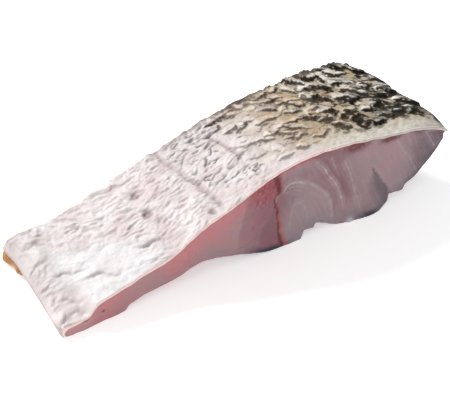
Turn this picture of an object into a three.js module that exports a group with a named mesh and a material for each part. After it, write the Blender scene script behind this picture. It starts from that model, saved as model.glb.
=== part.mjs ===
// A raw barramundi portion: a slice cut across one side of the fish, from the thin belly flap to the
// thick back, lying skin side up. Millimetres, +Z up.
// +X runs from the belly end to the back edge, +Y from the front cut to the rear cut.
// The origin is on the resting plane, under the middle of the plan.
import * as THREE from 'three';
import { mergeVertices } from 'three/addons/utils/BufferGeometryUtils.js';

const { clamp, lerp, smoothstep } = THREE.MathUtils;

// Driving dimensions
const length = 185;
const width = 53;
const skinThickness = 1.3;
const seamGap = 0.3; // clear space between the skin and the flesh
const endInset = 1; // the flesh stops this short of the skin at both ends
const cutInset = 0.4; // and this short of it at both cuts

// Ribs from the belly end to the back edge. Each holds its distance along X from the middle, the
// height of the skin at the front and rear cuts, and the height of the underside at the same cuts.
const ribs = [
  { x: -92.5, skin: [3.6, 5.6], under: [0, 0] },
  { x: -86, skin: [6.2, 10.6], under: [0, 0] },
  { x: -76, skin: [10, 12], under: [0, 0.6] },
  { x: -60, skin: [13.5, 15], under: [3.2, 3.2] },
  { x: -44, skin: [17.2, 20.4], under: [6, 5.6] },
  { x: -30, skin: [25, 25], under: [9.2, 7.6] },
  { x: -14, skin: [30.8, 29.8], under: [5, 4.6] },
  { x: 2, skin: [37.4, 34.4], under: [0.4, 0.6] },
  { x: 20, skin: [40.6, 38.2], under: [0, 0] },
  { x: 40, skin: [39.6, 40.2], under: [0, 0] },
  { x: 60, skin: [36.4, 41.6], under: [0.6, 0.8] },
  { x: 76, skin: [34, 40.8], under: [8.6, 10.5] },
  { x: 87, skin: [30.6, 39.4], under: [17.6, 23] },
  { x: 92.5, skin: [27.6, 37.6], under: [24.9, 34.5] },
];

// The back edge runs slantwise in plan and bulges up behind its front tip
const backTaper = { pull: 11.5, from: 20 };
const backRidge = { lift: 2.5, from: 70 };

// Skin relief: overlapping scale pockets on the back, soft wrinkles on the belly, and the fold and
// the lateral line that run across the slice
const scalePocket = { length: 12, row: 7.5, rise: 1, from: -4, full: 24 };
const bareRim = { width: 5, drop: 0.9, from: 30, full: 52 };
const bellyWrinkle = { length: 15, row: 6.5, rise: 0.5, from: -10, full: -40 };
const bellyFold = { x: -19.5, depth: 0.9, halfWidth: 3 };
const lateralLine = { x: 0, depth: 0.6, halfWidth: 2.2 };

// Flesh relief: the curved flake layers on the cuts, the torn flakes under the front cut, and the
// fat on the belly end
const flake = { pitch: 12.5, bow: 7, lean: 9, rise: 0.35, from: 4, full: 16 };
const tornFlakes = { from: 16.5, step: 4, run: 24, rise: 4.6, reach: 13 };
const bellyFat = { proud: 0.9, from: 0.72, lump: 5 };

// Cells along the length, the width and the height
const cells = { along: 64, across: 18, high: 8 };

const halfLength = length / 2;
const halfWidth = width / 2;

// Height at x of the smooth curve through one column of the ribs
function ribHeight(column, cut, x) {
  const last = ribs.length - 1;
  const at = (i) => ribs[clamp(i, 0, last)];
  const height = (i) => at(i)[column][cut];
  const slope = (i) => (height(i + 1) - height(i - 1)) / (at(i + 1).x - at(i - 1).x);
  const found = ribs.findIndex((rib) => rib.x > x);
  const i = found < 0 ? last - 1 : Math.max(found - 1, 0);
  const span = at(i + 1).x - at(i).x;
  const t = clamp((x - at(i).x) / span, 0, 1);
  const arriving = t * t * (3 - 2 * t);
  const rise = slope(i) * t * (1 - t) * (1 - t) - slope(i + 1) * t * t * (1 - t);
  return lerp(height(i), height(i + 1), arriving) + rise * span;
}

// Between the cuts, across runs from 0 at the front to 1 at the rear
function skinForm(x, across) {
  const plain = lerp(ribHeight('skin', 0, x), ribHeight('skin', 1, x), across);
  const bulge = 6.75 * across * (1 - across) ** 2; // peaks at 1, a third of the way back
  return plain + backRidge.lift * bulge * smoothstep(x, backRidge.from, halfLength);
}

function undersideForm(x, across) {
  const plain = lerp(ribHeight('under', 0, x), ribHeight('under', 1, x), across);
  const intoTear = x - tornFlakes.from;
  const steepSide = smoothstep(intoTear, 0, tornFlakes.step);
  const longSide = 1 - smoothstep(intoTear, tornFlakes.step, tornFlakes.run);
  const inFront = 1 - smoothstep(across * width, 0, tornFlakes.reach);
  const torn = tornFlakes.rise * steepSide * longSide * inFront;
  return Math.max(plain + torn, 0);
}

function planX(x, across) {
  return x - backTaper.pull * across * smoothstep(x, backTaper.from, halfLength);
}

// A smooth furrow of the given half width, 1 at its middle
function furrow(distance, halfWidthOfFurrow) {
  return Math.exp(-((distance / halfWidthOfFurrow) ** 2));
}

// Each pocket's free edge faces the front cut and stands highest there. Rows are staggered.
function pocketHeight(x, y) {
  const sway = 0.12 * Math.sin(x / 9) + 0.1 * Math.sin(x / 23 + 1);
  const rowPlace = y / scalePocket.row + sway;
  const row = Math.floor(rowPlace);
  const depth = rowPlace - row;
  const stagger = Math.abs(row % 2) / 2;
  const arch = Math.abs(Math.sin(Math.PI * (x / scalePocket.length + stagger)));
  return (1 - depth) * Math.sqrt(arch);
}

function wrinkleHeight(x, y) {
  const sway = 1.3 * Math.sin(x / 11) + 0.8 * Math.sin(x / 5.7 + y / 9);
  const across = Math.sin(2 * Math.PI * y / bellyWrinkle.row + sway);
  const along = Math.sin(2 * Math.PI * x / bellyWrinkle.length + 1.7 * Math.sin(y / 7));
  return 0.5 * across * (1 + 0.6 * along);
}

function skinRelief(x, y) {
  const fromFront = y + halfWidth;
  const scaled = smoothstep(x, scalePocket.from, scalePocket.full);
  const bare = smoothstep(x, bareRim.from, bareRim.full) * (1 - smoothstep(fromFront, 0, bareRim.width));
  const wrinkled = 1 - smoothstep(x, bellyWrinkle.full, bellyWrinkle.from);
  const pockets = scalePocket.rise * pocketHeight(x, y) * scaled * (1 - bare);
  const wrinkles = bellyWrinkle.rise * wrinkleHeight(x, y) * (0.35 + 0.65 * wrinkled) * (1 - scaled);
  const fold = bellyFold.depth * furrow(x - bellyFold.x - 1.2 * Math.sin(y / 8), bellyFold.halfWidth);
  const line = lateralLine.depth * furrow(x - lateralLine.x - Math.sin(y / 12), lateralLine.halfWidth);
  const endFade = smoothstep(x, -halfLength, -halfLength + 6) * smoothstep(-x, -halfLength, -halfLength + 3);
  return (pockets + wrinkles - fold - line) * endFade - bareRim.drop * bare;
}

// How far a cut face is sunk where one flake layer meets the next
function flakeSink(x, share) {
  const bend = flake.bow * Math.sin(Math.PI * share) + flake.lean * share;
  const place = (x + bend) / flake.pitch;
  const layered = smoothstep(x, flake.from, flake.full);
  return flake.rise * (place - Math.floor(place)) * layered;
}

// A box of unit size whose corners share their vertices, with every vertex moved by place(u, v, w)
function formedBox(along, across, high, place) {
  const geometry = new THREE.BoxGeometry(1, 1, 1, along, across, high);
  geometry.deleteAttribute('normal');
  geometry.deleteAttribute('uv');
  const position = geometry.getAttribute('position');
  for (let i = 0; i < position.count; i += 1) {
    const u = Math.round((position.getX(i) + 0.5) * along) / along;
    const v = Math.round((position.getY(i) + 0.5) * across) / across;
    const w = Math.round((position.getZ(i) + 0.5) * high) / high;
    const { x, y, z } = place(u, v, w);
    position.setXYZ(i, x, y, z);
  }
  const solid = mergeVertices(geometry);
  solid.computeVertexNormals();
  return solid;
}

function skinPoint(u, v, w) {
  const x = lerp(-halfLength, halfLength, u);
  const y = lerp(-halfWidth, halfWidth, v);
  const inner = skinForm(x, v) - skinThickness;
  const outer = skinForm(x, v) + skinRelief(x, y);
  return { x: planX(x, v), y, z: lerp(inner, outer, w) };
}

function fleshPoint(u, v, w) {
  const fat = smoothstep(v, bellyFat.from, 1) * Math.sin(Math.PI * w) ** 2;
  const lumps = 0.6 + 0.4 * Math.sin(bellyFat.lump * Math.PI * v);
  const bellyEnd = -halfLength + endInset - bellyFat.proud * fat * lumps;
  const x = lerp(bellyEnd, halfLength - endInset, u);
  const sink = cutInset + flakeSink(x, w);
  const y = lerp(-halfWidth + sink, halfWidth - sink, v);
  const ceiling = skinForm(x, v) - skinThickness - seamGap;
  return { x: planX(x, v), y, z: lerp(undersideForm(x, v), ceiling, w) };
}

function mesh(name, geometry, color, roughness) {
  const material = new THREE.MeshStandardMaterial({ color, roughness, metalness: 0 });
  const piece = new THREE.Mesh(geometry, material);
  piece.name = name;
  return piece;
}

const portion = new THREE.Group();
portion.add(mesh('flesh', formedBox(cells.along, cells.across, cells.high, fleshPoint), 0xb08c8c, 0.4));
portion.add(mesh('skin', formedBox(cells.along, cells.across, 1, skinPoint), 0xe4dcd0, 0.45));

export default portion;
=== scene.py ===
import math
from types import SimpleNamespace

import bpy
import numpy as np
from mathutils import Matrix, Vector


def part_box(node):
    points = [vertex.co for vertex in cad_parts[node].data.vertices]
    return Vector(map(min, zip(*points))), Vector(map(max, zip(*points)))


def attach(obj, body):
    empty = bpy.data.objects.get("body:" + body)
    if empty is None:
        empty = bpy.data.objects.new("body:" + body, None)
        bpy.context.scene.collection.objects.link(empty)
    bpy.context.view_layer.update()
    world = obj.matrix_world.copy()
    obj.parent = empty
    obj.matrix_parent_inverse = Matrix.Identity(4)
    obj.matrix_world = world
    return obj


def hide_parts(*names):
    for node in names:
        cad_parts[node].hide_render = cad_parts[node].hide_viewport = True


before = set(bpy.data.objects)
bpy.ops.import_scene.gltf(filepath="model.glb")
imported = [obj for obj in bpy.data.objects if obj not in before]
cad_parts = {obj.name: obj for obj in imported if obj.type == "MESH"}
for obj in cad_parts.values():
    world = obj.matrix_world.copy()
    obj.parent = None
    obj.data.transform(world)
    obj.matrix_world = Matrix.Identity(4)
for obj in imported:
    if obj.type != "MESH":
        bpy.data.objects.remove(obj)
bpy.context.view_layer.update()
mm = 0.001
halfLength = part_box("skin")[1][0] / mm
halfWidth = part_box("skin")[1][1] / mm
print("frame: loaded,", round(2 * halfLength), "by", round(2 * halfWidth), "mm")


# Small helpers, all on arrays of millimetres

def smoothStep(low, high, value):
    t = np.clip((value - low) / (high - low), 0, 1)
    return t * t * (3 - 2 * t)


def fade(piece, name, x):  # 0 to 1 between two places along x that the piece names
    return smoothStep(*piece["fades"][name], x)


def bump(value, middle, spread):
    return np.exp(-((value - middle) / spread) ** 2)


def mixed(a, b, share):
    return a + (b - a) * share


def softNoise(x, y, seed):  # smooth gradient noise, about -1 to 1, one swell per unit
    angle = np.random.default_rng(seed).uniform(0, 2 * math.pi, (64, 64))
    col, row = np.floor(x).astype(int), np.floor(y).astype(int)
    fx, fy = x - col, y - row

    def corner(dx, dy):
        turn = angle[(col + dx) % 64, (row + dy) % 64]
        return np.cos(turn) * (fx - dx) + np.sin(turn) * (fy - dy)

    sx = fx ** 3 * (fx * (fx * 6 - 15) + 10)
    sy = fy ** 3 * (fy * (fy * 6 - 15) + 10)
    near = mixed(corner(0, 0), corner(1, 0), sx)
    far = mixed(corner(0, 1), corner(1, 1), sx)
    return 1.6 * mixed(near, far, sy)


def layeredNoise(x, y, seed, layers=3):
    return sum(softNoise(x * 2 ** k, y * 2 ** k, seed + k) / 2 ** k for k in range(layers)) / 1.6


def softened(grid, steps):  # each step spreads the values over their neighbours
    for _ in range(steps):
        wide = np.pad(grid, 1, mode="edge")
        grid = grid / 2 + (wide[:-2, 1:-1] + wide[2:, 1:-1] + wide[1:-1, :-2] + wide[1:-1, 2:]) / 8
    return grid


def curvePoints(points, steps=5):  # a smooth run through a few points
    p = np.array(points, float)
    p = np.vstack([2 * p[0] - p[1], p, 2 * p[-1] - p[-2]])
    out = []
    for a, b, c, d in zip(p[:-3], p[1:-2], p[2:-1], p[3:]):
        for t in np.arange(steps) / steps:
            out.append(0.5 * (2 * b + (c - a) * t + (2 * a - 5 * b + 4 * c - d) * t ** 2
                              + (3 * b - a - 3 * c + d) * t ** 3))
    return np.array(out + [p[-2]])


def lineDistance(x, y, points):  # distance to a line, 1 on its left or 0 on its right, and 0 to 1 along it
    run = curvePoints(points)
    best = np.full(x.shape, 99.0)
    side, share = np.zeros(x.shape), np.zeros(x.shape)
    for k, ((ax, ay), (bx, by)) in enumerate(zip(run[:-1], run[1:])):
        dx, dy = bx - ax, by - ay
        t = np.clip(((x - ax) * dx + (y - ay) * dy) / (dx * dx + dy * dy), 0, 1)
        gap = np.hypot(x - ax - t * dx, y - ay - t * dy)
        nearer = gap < best
        best = np.where(nearer, gap, best)
        side = np.where(nearer, (y - ay) * dx - (x - ax) * dy, side)
        share = np.where(nearer, (k + t) / (len(run) - 1), share)
    return best, (side > 0) * 1.0, share


def tapered(share, end):  # fades in and out over the ends of a line
    return smoothStep(0, end, share) * smoothStep(1, 1 - end, share)


# The portion's form: close to the solids, and finer at the corners

form = {
    "ribs": np.array([  # x, skin at front and rear cut, underside at front and rear cut
        (-92.5, 5.0, 5.6, 0, 0), (-86, 6.2, 10.6, 0, 0), (-76, 10, 11.4, 0, 0.6),
        (-60, 13.5, 14.4, 3.2, 3.2), (-44, 17.2, 20.4, 5.2, 5.6), (-30, 25, 25, 8.4, 7.6),
        (-14, 30.8, 29.8, 5, 4.6), (2, 37.4, 34.4, 0.4, 0.6), (20, 40.6, 38.2, 0, 0),
        (40, 39.6, 40.2, 0, 0), (60, 36.4, 41.6, 0.6, 0.8), (76, 34, 40.8, 8.6, 10.5),
        (87, 30.6, 40, 17.6, 23), (92.5, 27.6, 38.6, 24.9, 34.5)]),
    "backPull": 11.5, "backPullFrom": 20,  # the back edge runs slantwise in plan
    "ridgeLift": 2.5, "ridgeFrom": 70,  # and bulges up behind its front tip
    "tears": [  # from x, rising run, whole run, rise, reach
        (17.2, 1.8, 22, 4.0, 13), (23.7, 1.2, 15, 2.2, 9), (62.4, 1.8, 8, 2.8, 9), (70.4, 1.4, 6, 1.0, 8),
        (-76, 10, 12.6, -1.5, 9),
    ],
    "endSkew": 4.6, "endSkewFrom": -62,  # the belly end is cut a little askew
    "lobeDroop": 4.0, "lobeReach": 0.34,  # the skin sags over the front belly corner
    "lobeRun": 13, "lobeEnd": (-81.5, -76.5),
    "corners": {  # x, y, radius in plan
        "belly": (-halfLength, -halfWidth, 6.0), "back": (halfLength, halfWidth, 14.0),
    },
    "swell": (0.6, 1.9), "sag": 1.3, "jut": 2.0,  # how far the belly corners reach out
}


def ribCurve(column, x):
    knots, heights = form["ribs"][:, 0], form["ribs"][:, column]
    slopes = np.gradient(heights, knots)
    slopes[1:-1] = (heights[2:] - heights[:-2]) / (knots[2:] - knots[:-2])
    i = np.clip(np.searchsorted(knots, x, side="right") - 1, 0, len(knots) - 2)
    span = knots[i + 1] - knots[i]
    t = np.clip((x - knots[i]) / span, 0, 1)
    rise = slopes[i] * t * (1 - t) ** 2 - slopes[i + 1] * t * t * (1 - t)
    return mixed(heights[i], heights[i + 1], t * t * (3 - 2 * t)) + rise * span


def skinForm(x, across):
    plain = mixed(ribCurve(1, x), ribCurve(2, x), across)
    bulge = 12.2 * across * (1 - across) ** 4  # peaks at 1, a fifth of the way back
    droop = np.clip((x + halfLength) / form["lobeRun"], 0, 1) ** 1.5 * (1 - smoothStep(*form["lobeEnd"], x))
    droop = form["lobeDroop"] * droop * (1 - smoothStep(0, form["lobeReach"], across))
    return plain + form["ridgeLift"] * bulge * smoothStep(form["ridgeFrom"], halfLength, x) - droop


def undersideForm(x, across):
    height = mixed(ribCurve(3, x), ribCurve(4, x), across)
    for start, steep, run, rise, reach in form["tears"]:
        into = x - start
        torn = smoothStep(0, steep, into) * (1 - smoothStep(steep, run, into))
        height = height + rise * torn * (1 - smoothStep(0, reach, across * 2 * halfWidth))
    return np.maximum(height, 0)


def planX(x, across):
    back = form["backPull"] * across * smoothStep(form["backPullFrom"], halfLength, x)
    skew = across - 0.5 - 0.3 * smoothStep(0.78, 1, across)
    return x - back + form["endSkew"] * skew * smoothStep(form["endSkewFrom"], -halfLength, x)


def cornerForm(x, y):  # two corners are round in plan, the front belly one is plump and the rear one juts out
    swellX, swellY = form["swell"]
    swell = bump(x, -halfLength, 6) * bump(y, -halfWidth, 7)
    sag = smoothStep(-52, -74, x) * smoothStep(-12, -halfWidth, y)
    jut = bump(x, -halfLength, 7) * bump(y, halfWidth, 6)
    outX = x - swellX * swell
    outY = y - swellY * swell - form["sag"] * sag + form["jut"] * jut
    for endX, endY, radius in form["corners"].values():
        a = np.clip(1 - np.abs(x - endX) / radius, 0, 1)
        b = np.clip(1 - np.abs(y - endY) / radius, 0, 1)
        inward = radius * np.where(a * b > 0, 1 - np.maximum(a, b) / np.maximum(np.hypot(a, b), 1e-6), 0)
        outX, outY = outX - np.sign(endX) * a * inward, outY - np.sign(endY) * b * inward
    return outX, outY


# Meshes: the surface of a box lattice, with the hidden side in coarser cells

def latticeShell(cells, coarse, hiddenTop):
    nu, nv, nw = cells
    kept = np.zeros((nu + 1, nv + 1, nw + 1), bool)
    kept[[0, -1]] = kept[:, [0, -1]] = kept[:, :, [0, -1]] = True
    hidden = nw if hiddenTop else 0
    kept[1:-1, 1:-1, hidden] = False
    kept[::coarse, ::coarse, hidden] = True
    number = np.full(kept.shape, -1)
    number[kept] = np.arange(kept.sum())
    spots = np.argwhere(kept) / np.array(cells)

    def quads(sheet, flip):
        ring = np.stack([sheet[:-1, :-1], sheet[1:, :-1], sheet[1:, 1:], sheet[:-1, 1:]], -1).reshape(-1, 4)
        return (ring[:, ::-1] if flip else ring).tolist()

    faces = quads(number[:, 0], False) + quads(number[:, -1], True)
    faces += quads(number[0], True) + quads(number[-1], False)
    faces += quads(number[:, :, 0], True) if hiddenTop else quads(number[:, :, -1], False)
    sheet = number[:, :, hidden]

    def run(a, b, onRim):  # fine steps along a rim, one step elsewhere
        return range(a, b, 1 if b > a else -1) if onRim else [a]

    for i in range(0, nu, coarse):
        for j in range(0, nv, coarse):
            i2, j2 = i + coarse, j + coarse
            ring = [sheet[k, j] for k in run(i, i2, j == 0)]
            ring += [sheet[i2, k] for k in run(j, j2, i2 == nu)]
            ring += [sheet[k, j2] for k in run(i2, i, j2 == nv)]
            ring += [sheet[i, k] for k in run(j2, j, i == 0)]
            faces.append([int(n) for n in (ring if hiddenTop else ring[::-1])])
    return *spots.T, faces


def makePiece(name, points, faces, masks):
    mesh = bpy.data.meshes.new(name)
    mesh.from_pydata((points * mm).tolist(), [], faces)
    for maskName, values in masks.items():
        layer = mesh.attributes.new(maskName, "FLOAT", "POINT")
        layer.data.foreach_set("value", np.clip(values, 0, 1).astype(np.float32))
    mesh.polygons.foreach_set("use_smooth", [True] * len(mesh.polygons))
    mesh.validate()
    piece = bpy.data.objects.new(name, mesh)
    bpy.context.scene.collection.objects.link(piece)
    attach(piece, "root")
    print("piece:", name, len(mesh.vertices), "points,", len(mesh.polygons), "faces")
    return piece


# Skin: scale pockets on the back, wrinkles on the belly

skinSheet = {
    "cells": (560, 160, 3), "coarse": 10,
    "thickness": 1.3, "edgeThickness": 0.8, "edgeReach": 4.0, "edgeRound": 0.2, "thinnest": 0.3,
    "foldX": -20.2, "foldWidth": 1.25, "foldDepth": 0.8,
    "lateralX": 0.3, "lateralWidth": 0.8, "lateralDepth": 0.6,
    "flapRise": 1.1, "flapReach": 6.5, "flapFront": 0.55,
    "wrinkleRise": 1.4, "grooveDepth": 0.6, "grainRise": 0.18,
    "fades": {  # x where each begins, and x where it is full
        "scaled": (-4, 18), "back": (-8, 30), "bare": (15, 55), "flaps": (8, 45), "lessTan": (45, 70),
        "inkThick": (18, 78), "inkDark": (8, 60), "inkFull": (25, 60), "inkFaint": (60, 25),
        "inkSpeckle": (70, 35), "inkHalo": (64, 44), "inkStreaks": (60, 76), "inkRear": (-34, 20),
        "inkWarm": (62, 30),
        "fineWrinkles": (-46, -37), "ripples": (-43, -37), "ripplesEnd": (-20, -25), "rearLumps": (-60, -20),
        "endLumps": (-72, -82), "endShade": (-76, -84), "plump": (-74, -80), "calm": (-91, -80),
        "calmEnd": (-43, -56), "foldShade": (-34, -20), "foldShadeEnd": (16, -2), "blush": (-25, 0),
        "blushEnd": (46, 20), "cut": (70, 20),
    },
    "bareBand": {  # widths along the front cut, and x where they change
        "belly": 3.5, "middle": 7.0, "back": 5.5, "grows": (12, 38), "shrinks": (60, 90), "drop": 0.4,
    },
    "tones": ("pink", "peach", "cream", "pale", "white", "grey", "olive"),  # of the flaps, belly side first
    "scales": {
        "seed": 19, "x": (1, 95), "y": (-19, 28), "pitch": 10.5, "row": 6.0, "stray": 1.7,
        "turn": (-0.1, -0.42), "turnSpread": 0.42, "length": (0.6, 1.25), "bow": (-1.8, 3.0),
        "width": (1.2, 3.8), "darkness": (0.9, 1.25),
    },
    "flecks": {
        "seed": 21, "x": (4, 92), "y": (-19, 26), "pitch": 6.0, "row": 4.2, "stray": 1.9,
        "turn": (-0.1, -0.4), "turnSpread": 0.5, "length": (0.6, 1.4), "bow": (-0.8, 1.0),
        "width": (0.8, 1.9), "darkness": (0.6, 1.1),
    },
    "dashes": {
        "seed": 9, "x": (-19, 8), "y": (-18, 24), "pitch": 6.5, "row": 2.3, "stray": 1.2,
        "turn": (0.0, 0.0), "turnSpread": 0.45, "length": (0.5, 1.4), "bow": (-1.2, 1.2),
        "width": (0.55, 1.1), "darkness": (0.65, 1.15),
    },
    "ripples": {
        "seed": 10, "x": (-40, -21), "y": (-18, 24), "pitch": 7.5, "row": 2.5, "stray": 1.3,
        "turn": (-0.2, -0.2), "turnSpread": 0.22, "length": (0.5, 1.2), "bow": (-0.9, 0.9),
        "width": (0.7, 1.1), "darkness": (0.6, 1.1),
    },
    "strokePatch": {
        "seed": 17, "x": (-5, 5), "y": (-21, -12), "pitch": 2.8, "row": 1.3, "stray": 0.6,
        "turn": (0.0, 0.0), "turnSpread": 0.6, "length": (0.5, 1.2), "bow": (-0.4, 0.4),
        "width": (0.5, 0.9), "darkness": (0.7, 1.2),
    },
    "firstEdges": {  # free edges next to the lateral line: x and y along it, width, darkness, other choices
        "long": ([(4, -3.5), (10, -3.8), (16.5, -8)], 3.4, 1.25, 0.4),
        "short": ([(11, -12.5), (13, -14.5), (12.5, -17)], 1.8, 0.9, 0.5),
    },
    "masses": {  # places among the scales with more or less ink: x, y, radius, how much
        "corner": (75, -12, 9, 1.0), "front": (53, -14, 6, 0.7), "middle": (47, -5, 7, 0.6),
        "upper": (61, 6, 6, 0.6), "ridge": (88, 6, 9, -0.5), "fan": (76, 10, 6, -1.3),
        "bright": (66, -5, 5, -1.1), "rear": (64, 20, 7, -0.8),
    },
    "creases": {  # x and y along the crease, depth, half width
        "shelf": ([(-54, -11), (-47, -15), (-42.5, -17)], 0.75, 0.6),
        "longFold": ([(-77, -12), (-68, -16), (-63, -21.5)], 0.5, 0.5),
        "endFold": ([(-87, -2), (-79, -6), (-70, -10.5)], 0.5, 0.55),
        "rearFold": ([(-71, 15.5), (-63, 12)], 0.5, 0.5),
        "hollow": ([(-38, -4), (-39, -8.5), (-42, -12)], 0.5, 0.6),
        "lobeUpper": ([(-87.5, -16), (-83.5, -16.5), (-81.5, -22)], 0.5, 0.6),
        "lobeLower": ([(-86.5, -22.5), (-83, -22.5), (-79.5, -24.5)], 0.45, 0.6),
    },
    "pits": {  # x, y, radius, depth
        "rear": (-40.5, 11, 2.0, 1.0), "middle": (-40.5, -1, 2.3, 1.3), "front": (-23, -22, 1.7, 0.9),
    },
}


def skinThickness(y):  # thinner where the knife has dragged it at the cuts
    sheet = skinSheet
    inside = smoothStep(0, sheet["edgeReach"], halfWidth - np.abs(y))
    return mixed(sheet["edgeThickness"], sheet["thickness"], inside)


def bareWidth(x):  # of the band along the front cut that has no scales
    band = skinSheet["bareBand"]
    grown = band["belly"] + (band["middle"] - band["belly"]) * smoothStep(*band["grows"], x)
    return grown + (band["back"] - band["middle"]) * smoothStep(*band["shrinks"], x)


def scattered(kind):  # short bowed lines in uneven rows: points, width, darkness, a number for other choices
    spec = skinSheet[kind]
    random = np.random.default_rng(spec["seed"])
    lines = []
    for row, rowY in enumerate(np.arange(*spec["y"], spec["row"])):
        for rowX in np.arange(*spec["x"], spec["pitch"]) + 0.5 * spec["pitch"] * (row % 2):
            x, y = rowX + random.normal(0, spec["stray"]), rowY + random.normal(0, 0.8 * spec["stray"])
            turn = random.normal(np.interp(rowX, spec["x"], spec["turn"]), spec["turnSpread"])
            half = 0.5 * spec["pitch"] * random.uniform(*spec["length"])
            bow, skew = random.uniform(*spec["bow"]), random.uniform(-0.5, 0.5)
            along = half * np.array([math.cos(turn), math.sin(turn)])
            middle = (x, y) + skew * along + bow * np.array([math.sin(turn), -math.cos(turn)])
            points = [(x, y) - along, middle, (x, y) + along]
            width, darkness = random.uniform(*spec["width"]), random.uniform(*spec["darkness"])
            lines.append((points, width, darkness, random.random()))
    return lines


def around(x, y, points, reach):  # the places within reach of a line's box
    low, high = np.min(points, 0) - reach, np.max(points, 0) + reach
    return (x > low[0]) & (x < high[0]) & (y > low[1]) & (y < high[1])


def flapTone(x, y, pick):  # pink near the belly, then peach and cream to white, with a few grey and olive
    names = skinSheet["tones"]
    if pick > 0.9:
        return names.index("grey")
    if pick < 0.06 and y > -10:
        return names.index("olive")
    if 0.06 < pick < 0.3 and 12 < x < 48:
        return names.index("peach")
    return int(5 * np.clip((x - 4) / 72 + 0.9 * (pick - 0.5), 0, 0.99))


def freeEdges():  # those clear of the bare band and the belly, with True for a flap and False for a fleck
    flaps = [*scattered("scales"), *skinSheet["firstEdges"].values()]
    for isFlap, lines in ((True, flaps), (False, scattered("flecks"))):
        for points, width, darkness, pick in lines:
            midX, midY = points[1]
            start = 5 - 8 * pick if isFlap else 4 + 14 * pick
            clear = bareWidth(midX) * (1 if isFlap else 0.9)
            if midX >= start and midY + halfWidth >= clear + 0.5 * width:
                yield isFlap, points, width, darkness, pick


def inkPatches(x, y):  # above 0 where there is more ink, below 0 where there is less
    masses = skinSheet["masses"].values()
    placed = sum(more * bump(x, atX, r) * bump(y, atY, r) for atX, atY, r, more in masses)
    return 0.6 * softNoise(x / 15, y / 11, 30) + placed


def backStreaks(x, y, feather, patches):  # ink between the flaps near the back
    streak = softNoise(x / 7 + 0.3 * feather, (y + 0.4 * x) / 2.3, 45)
    streak = smoothStep(-0.02, 0.15, streak + 0.25 * patches) * fade(skinSheet, "inkStreaks", x)
    return streak * smoothStep(22, 8, y) * smoothStep(1, 2.5, (y + halfWidth) / bareWidth(x))


def freeEdgeField(x, y):  # flaps of skin, each raised behind its free edge, with ink and brown round the edge
    sheet = skinSheet
    inkX = x + 0.8 * softNoise(x / 3.2, y / 3.2, 31) + 0.4 * softNoise(x / 1.3, y / 1.3, 32)
    inkY = y + 0.8 * softNoise(x / 3.2, y / 3.2, 33) + 0.4 * softNoise(x / 1.3, y / 1.3, 34)
    feather = softNoise(x / 2.6, y / 0.9, 35) + 0.7 * softNoise(x / 1.2, y / 0.7, 36)
    patches = inkPatches(x, y)
    cluster = np.maximum(1 + 0.7 * patches, 0.3)
    speckle = 1 - 0.3 * smoothStep(0.1, 0.5, softNoise(x / 0.9, y / 0.8, 44)) * fade(sheet, "inkSpeckle", x)
    faint = 1 - 0.25 * fade(sheet, "inkFaint", x) * smoothStep(0.2, -0.5, patches)
    ink, halo, lift = np.zeros(x.shape), np.zeros(x.shape), np.zeros(x.shape)
    behind, tone = np.full(x.shape, 99.0), np.full(x.shape, -1)
    for isFlap, points, width, darkness, pick in freeEdges():
        midX, midY = points[1]
        near = around(x, y, points, 11)
        gap, rear, share = lineDistance(inkX[near], inkY[near], points)
        half = 0.5 * width * mixed(0.7, 1.75, fade(sheet, "inkThick", midX)) * cluster[near]
        heavy = np.sin(math.pi * share ** (0.5 + 1.3 * pick)) ** 0.7  # heavier towards one end
        reach = np.maximum(half * heavy * mixed(1.5, 0.6, rear), 0.05)  # narrower behind than in front
        stroke = smoothStep(1.05, 0.7, gap / reach - 0.6 * feather[near])
        shade = darkness * mixed(0.85, 1, fade(sheet, "inkDark", midX))
        shade = shade * mixed(0.7, 1, smoothStep(-18, -4, midY + 0.5 * (midX - 30)))  # fainter at the front
        ink[near] = np.maximum(ink[near], shade * faint[near] * speckle[near] * stroke)
        halo[near] = np.maximum(halo[near], shade * smoothStep(3.4, 0.8, gap / reach))
        if isFlap:
            inset = (2 * rear - 1) * gap - 0.35 * half
            span = tapered(share, 0.15)
            rise = np.exp(-np.where(inset > 0, inset / sheet["flapReach"], inset / sheet["flapFront"]) ** 2)
            lift[near] = np.maximum(lift[near], span * rise * (0.6 + 0.4 * shade))
            onTop = (inset > -0.2) & (span > 0.3) & (inset < behind[near])
            behind[near] = np.where(onTop, inset, behind[near])
            tone[near] = np.where(onTop, flapTone(midX, midY, pick), tone[near])
    ink = np.maximum(ink, backStreaks(x, y, feather, patches))
    ink = np.clip(ink, 0, 1) * mixed(0.95, 1, fade(sheet, "inkFull", x))
    tones = {}
    for number, name in enumerate(sheet["tones"]):
        tones[name] = softened((tone == number) * bump(behind, 0, 7), 1)
    halo = halo * fade(sheet, "inkHalo", x)
    return SimpleNamespace(ink=ink, halo=halo, lift=lift, behind=behind, tones=tones)


def grooveField(x, y, kind, zone):  # short wavering grooves, as strong as the zone at their middle
    wobble = 0.6 * softNoise(x / 2, y / 2, 17)
    deepest = np.zeros(x.shape)
    for points, width, darkness, pick in scattered(kind):
        strength = darkness * zone(*points[1])
        if strength < 0.15 + 0.3 * pick:
            continue
        near = around(x, y, points, 4)
        gap, rear, share = lineDistance(x[near] + wobble[near], y[near] + wobble[near], points)
        groove = strength * bump(gap, 0, 0.5 * width) * tapered(share, 0.3)
        deepest[near] = np.maximum(deepest[near], groove)
    return deepest


def dashZone(x, y):  # grey dashes right of the fold, thickest in two places, and none past the lateral line
    middle, rear = bump(x, -8, 10) * bump(y, -4, 11), bump(x, -8, 11) * bump(y, 18, 9)
    pastLine = smoothStep(-3, 1, x) * smoothStep(-12, -6, y) * smoothStep(18, 12, y)
    return np.clip(1.5 * middle + 1.2 * rear + 0.15, 0, 1) * (1 - pastLine)


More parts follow.
